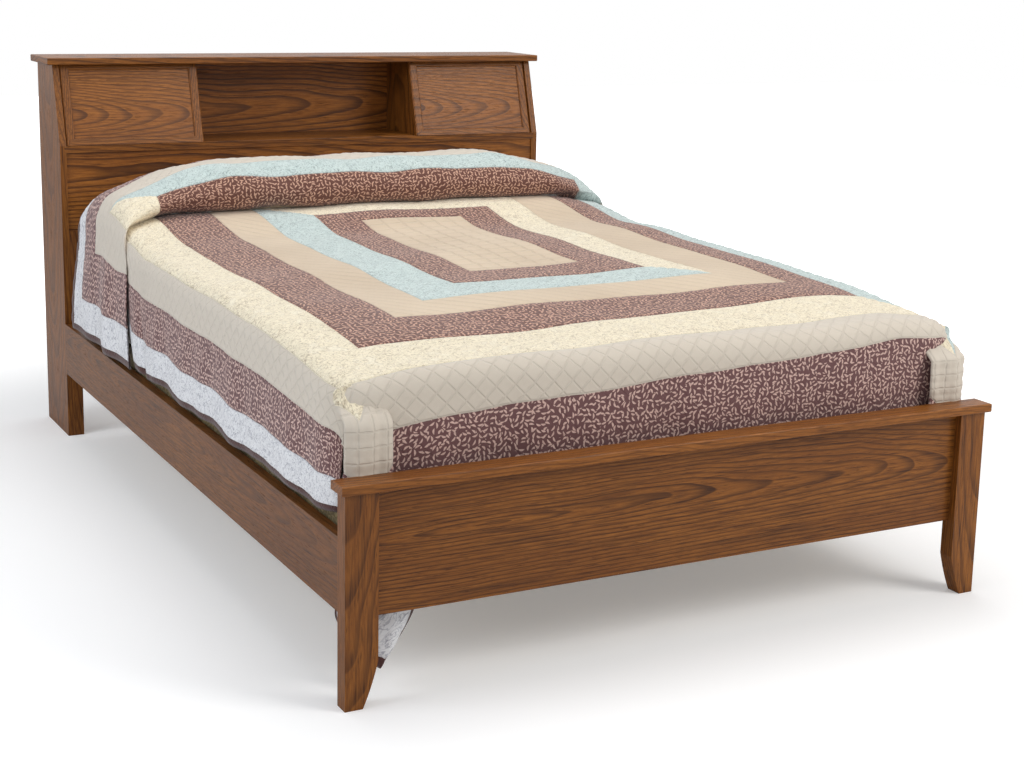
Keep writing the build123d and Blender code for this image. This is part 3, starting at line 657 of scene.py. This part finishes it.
def soft_slab(name, low, high, corner, edge, under, material):
    """A mattress or box spring: rounded in plan, soft at its edges. Its top keeps under the quilt by the length given."""
    columns, rings = 160, 26
    (x0, y0, z0), (x1, y1, z1) = low, high
    centre = ((x0 + x1) / 2, (y0 + y1) / 2)
    half = ((x1 - x0) / 2, (y1 - y0) / 2)
    points = []

    def outline(inset):
        radius = max(corner - inset, 0.004)
        hx, hy = half[0] - inset, half[1] - inset
        for quarter, (sx, sy) in enumerate(((1, 1), (-1, 1), (-1, -1), (1, -1))):
            for k in range(columns // 4):
                angle = math.radians(90 * (quarter + k / (columns // 4 - 1)))
                yield (centre[0] + sx * (hx - radius) + radius * math.cos(angle),
                       centre[1] + sy * (hy - radius) + radius * math.sin(angle))

    profile = [(0.30, 0.0)] + [(edge * (1 - math.sin(a)), edge * (1 - math.cos(a)))
                              for a in np.linspace(0, math.pi / 2, 6)]
    levels = [(inset, z0 + rise) for inset, rise in profile]
    for k in range(1, 10):
        t = k / 10
        levels.append((0.004 * math.sin(t * math.pi) - 0.004, z0 + edge + (z1 - z0 - 2 * edge) * t))
    levels += [(inset, z1 - rise) for inset, rise in reversed(profile)]
    levels = [(max(inset, 0.0), z) for inset, z in levels]
    levels += [(inset, z1) for inset in (0.06, 0.12, 0.20, 0.30, 0.42, 0.54, 0.66, 0.74)]
    for inset, z in levels:
        for x, y in outline(inset):
            top = min(z1, float(top_height(x, y - FOOT)) - under) if under else z1
            points.append((x, y, z0 + (z - z0) * (top - z0) / (z1 - z0)))
    faces = []
    for ring in range(len(levels) - 1):
        for k in range(columns):
            a, b = ring * columns + k, ring * columns + (k + 1) % columns
            faces.append((a, b, b + columns, a + columns))
    faces.append(tuple(reversed(range(columns))))
    top = (len(levels) - 1) * columns
    faces.append(tuple(range(top, top + columns)))
    return mesh_piece(name, points, faces, material)


def make_pillow(name, node, material):
    """A bed pillow with a piped seam all round, plump in the middle and drawn in at its corners."""
    (x0, y0, z0), (x1, y1, z1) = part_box(node)
    x0, x1 = max(x0, -0.64), min(x1, 0.64)
    y0, y1, z1 = FOOT + 1.715, FOOT + 2.05, 0.825
    cx, cy, cz = (x0 + x1) / 2, (y0 + y1) / 2, (z0 + z1) / 2
    hx, hy, hz = (x1 - x0) / 2, (y1 - y0) / 2, (z1 - z0) / 2 * 0.86
    columns, rows = 49, 33
    points, faces = [], []
    for sign in (1, -1):
        base = len(points)
        for i in range(rows):
            for j in range(columns):
                s, t = 2 * j / (columns - 1) - 1, 2 * i / (rows - 1) - 1
                pull = 1 - 0.05 * (1 - abs(t) ** 2) * abs(s) ** 6, 1 - 0.06 * (1 - abs(s) ** 2) * abs(t) ** 6
                x, y = cx + hx * s * pull[0] * 0.99, cy + hy * t * pull[1] * 0.98
                plump = ((1 - s**4) * (1 - t**4)) ** 0.55
                crease = 0.004 * math.sin(9 * s + 3 * t) * (1 - plump)
                points.append((x, y, cz - hz * 0.05 + sign * (hz * plump * 0.93 + 0.003) + crease))
        part = grid_faces(rows, columns, base)
        faces += part if sign > 0 else [tuple(reversed(f)) for f in part]
    rim = [j for j in range(columns)] + [i * columns + columns - 1 for i in range(1, rows)]
    rim += [(rows - 1) * columns + j for j in range(columns - 2, -1, -1)] + [i * columns for i in range(rows - 2, 0, -1)]
    lower = rows * columns
    for k, a in enumerate(rim):
        b = rim[(k + 1) % len(rim)]
        faces.append((b, a, a + lower, b + lower))
    return mesh_piece(name, points, faces, material)


def make_bedding():
    cloth = quilt_cloth("quilt_printed_cotton")
    quilt = make_quilt(cloth)
    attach(quilt, "root")
    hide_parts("quilt")

    (x0, y0, z0), (x1, y1, z1) = MATTRESS
    mattress = soft_slab("bed_mattress", (x0, y0, z0), (x1, y1, z1), 0.105, 0.030, 0.016,
                         ticking("mattress_ticking_cloth", (0.80, 0.79, 0.75), (0.55, 0.60, 0.68), 0.03))
    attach(mattress, "root")
    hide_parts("mattress")

    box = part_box("box_spring")
    spring = soft_slab("bed_box_spring", box[0], box[1], 0.035, 0.010, 0.0, damask("box_spring_gold_damask"))
    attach(spring, "root")
    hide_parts("box_spring")

    cotton = ticking("pillow_white_cotton", (0.82, 0.81, 0.78), (0.70, 0.70, 0.72), 0.012)
    for side in ("left", "right"):
        pillow = make_pillow("bed_pillow_" + side, "pillow_" + side, cotton)
        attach(pillow, "root")
        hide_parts("pillow_" + side)


# ---------------------------------------------------------------- studio

def make_camera():
    data = bpy.data.cameras.new("camera")
    data.sensor_width = 36.0
    data.lens = 1733.12 / 1024 * 36
    data.shift_y = -72 / 1024
    camera = bpy.data.objects.new("camera", data)
    bpy.context.scene.collection.objects.link(camera)
    yaw, pitch, roll = (math.radians(a) for a in (27.9948, 11.3235, 1.2))
    ahead = Vector((math.sin(yaw) * math.cos(pitch), math.cos(yaw) * math.cos(pitch), -math.sin(pitch)))
    right = Vector((math.cos(yaw), -math.sin(yaw), 0))
    up = right.cross(ahead)
    turned_right = right * math.cos(roll) + up * math.sin(roll)
    turned_up = up * math.cos(roll) - right * math.sin(roll)
    turn = Matrix((turned_right, turned_up, -ahead)).transposed().to_4x4()
    camera.matrix_world = Matrix.Translation((-1.99299, FOOT - 2.90956, 1.42411)) @ turn
    bpy.context.scene.camera = camera


def make_studio():
    size = 14.0
    floor = mesh_piece("floor", [(-size, -size, 0), (size, -size, 0), (size, size, 0), (-size, size, 0)],
                       [(0, 1, 2, 3)], floor_paper())
    world = bpy.data.worlds.new("studio")
    bpy.context.scene.world = world
    world.use_nodes = True
    tree = world.node_tree
    tree.nodes.clear()
    output = tree.nodes.new("ShaderNodeOutputWorld")
    seen, soft = tree.nodes.new("ShaderNodeBackground"), tree.nodes.new("ShaderNodeBackground")
    seen.inputs[0].default_value, seen.inputs[1].default_value = (1, 1, 1, 1), 1.0
    soft.inputs[0].default_value, soft.inputs[1].default_value = (0.95, 0.97, 1.0, 1), 0.46
    path, either, either_too, choose = (tree.nodes.new("ShaderNodeLightPath"), tree.nodes.new("ShaderNodeMath"),
                                        tree.nodes.new("ShaderNodeMath"), tree.nodes.new("ShaderNodeMixShader"))
    either.operation = either_too.operation = "MAXIMUM"
    tree.links.new(path.outputs["Is Camera Ray"], either.inputs[0])
    tree.links.new(path.outputs["Is Glossy Ray"], either.inputs[1])
    tree.links.new(either.outputs[0], either_too.inputs[0])
    tree.links.new(path.outputs["Is Transmission Ray"], either_too.inputs[1])
    tree.links.new(either_too.outputs[0], choose.inputs[0])
    tree.links.new(soft.outputs[0], choose.inputs[1])
    tree.links.new(seen.outputs[0], choose.inputs[2])
    tree.links.new(choose.outputs[0], output.inputs[0])
    add_lamp("key", (2.8, -4.2, 3.6), (0.1, 0.0, 0.5), 2.2, 125)
    add_lamp("window", (-4.2, -0.6, 2.6), (-0.4, 0.3, 0.6), 2.4, 66, (0.86, 0.92, 1.0))
    add_lamp("overhead", (0.2, 0.3, 4.2), (0.0, 0.1, 0.4), 3.0, 70)


def add_lamp(name, place, target, size, power, colour=(1.0, 0.98, 0.95)):
    data = bpy.data.lights.new(name, "AREA")
    data.size, data.energy, data.color = size, power, colour
    lamp = bpy.data.objects.new(name, data)
    lamp.location = place
    lamp.rotation_euler = (Vector(target) - Vector(place)).to_track_quat("-Z", "Y").to_euler()
    bpy.context.scene.collection.objects.link(lamp)


def floor_paper():
    """White floor that takes the shadow."""
    finish = Finish("floor_paper", Roughness=0.9, Specular_IOR_Level=0.1)
    x, y, _ = finish.split(finish.place())
    away = (x * x + y * y).math("SQRT").step(1.6, 3.4)
    ray = finish.node("ShaderNodeLightPath", {}, {}, 0)
    glow = ray * (0.22 + away * 0.78)
    finish.set(Base_Color=finish.mix(away, (0.86, 0.86, 0.86), (0.95, 0.95, 0.95)),
               Emission_Color=finish.mix(glow, (0.0, 0.0, 0.0), (1.0, 1.0, 1.0)), Emission_Strength=1.0)
    return finish.material


make_camera()
make_studio()
finish_frame()
make_bedding()

bpy.context.scene.view_settings.view_transform = "Standard"
